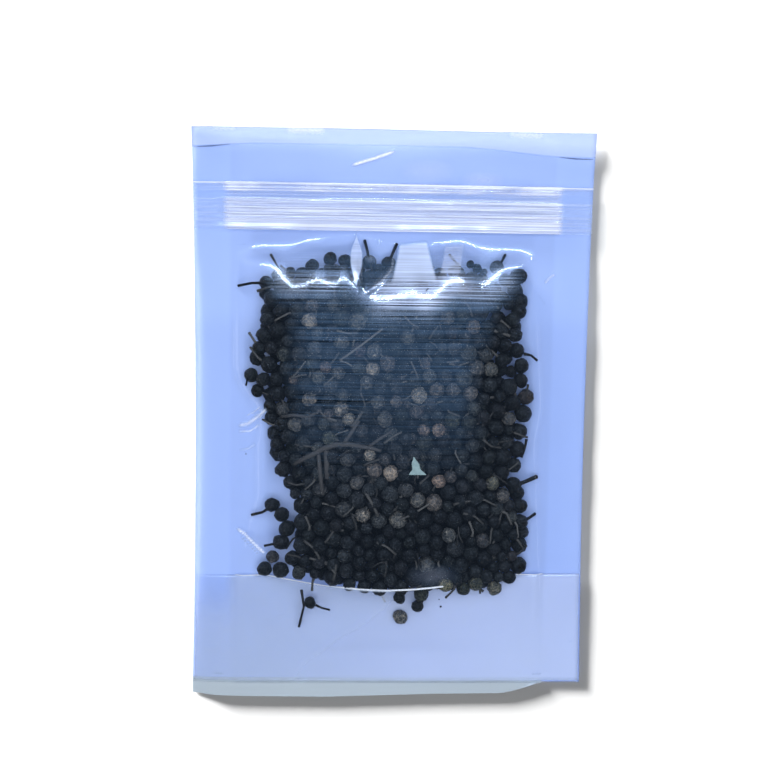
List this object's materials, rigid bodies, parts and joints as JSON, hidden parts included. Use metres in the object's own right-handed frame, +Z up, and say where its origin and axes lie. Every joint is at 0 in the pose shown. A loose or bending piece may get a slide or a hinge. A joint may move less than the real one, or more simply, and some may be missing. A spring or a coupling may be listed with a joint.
{
  "type": "clear press-to-close pouch of cubeb pepper",
  "caption": "Clear stand-up pouch with a press-to-close strip, welded sides and a folded-in foot, filled with dried cubeb pepper, shut and lying on its back.",
  "frame": {"origin": "on the table, under the middle of the pouch's outline", "axes": "+X across the pouch to the right of the front sheet, +Y towards the mouth, +Z up out of the front sheet"},
  "size_m": [0.1, 0.144, 0.0118],
  "materials": {
    "film": "clear glossy film, pale violet-blue where sheets lie on each other",
    "strip": "clear glossy extruded plastic, whiter on its ribs",
    "berries": "dried wrinkled berries, brown-black with greyer and tan ones"
  },
  "bodies": {
    "root": {"pouch": "film", "closing_strip": "strip"}
  },
  "joints": []
}
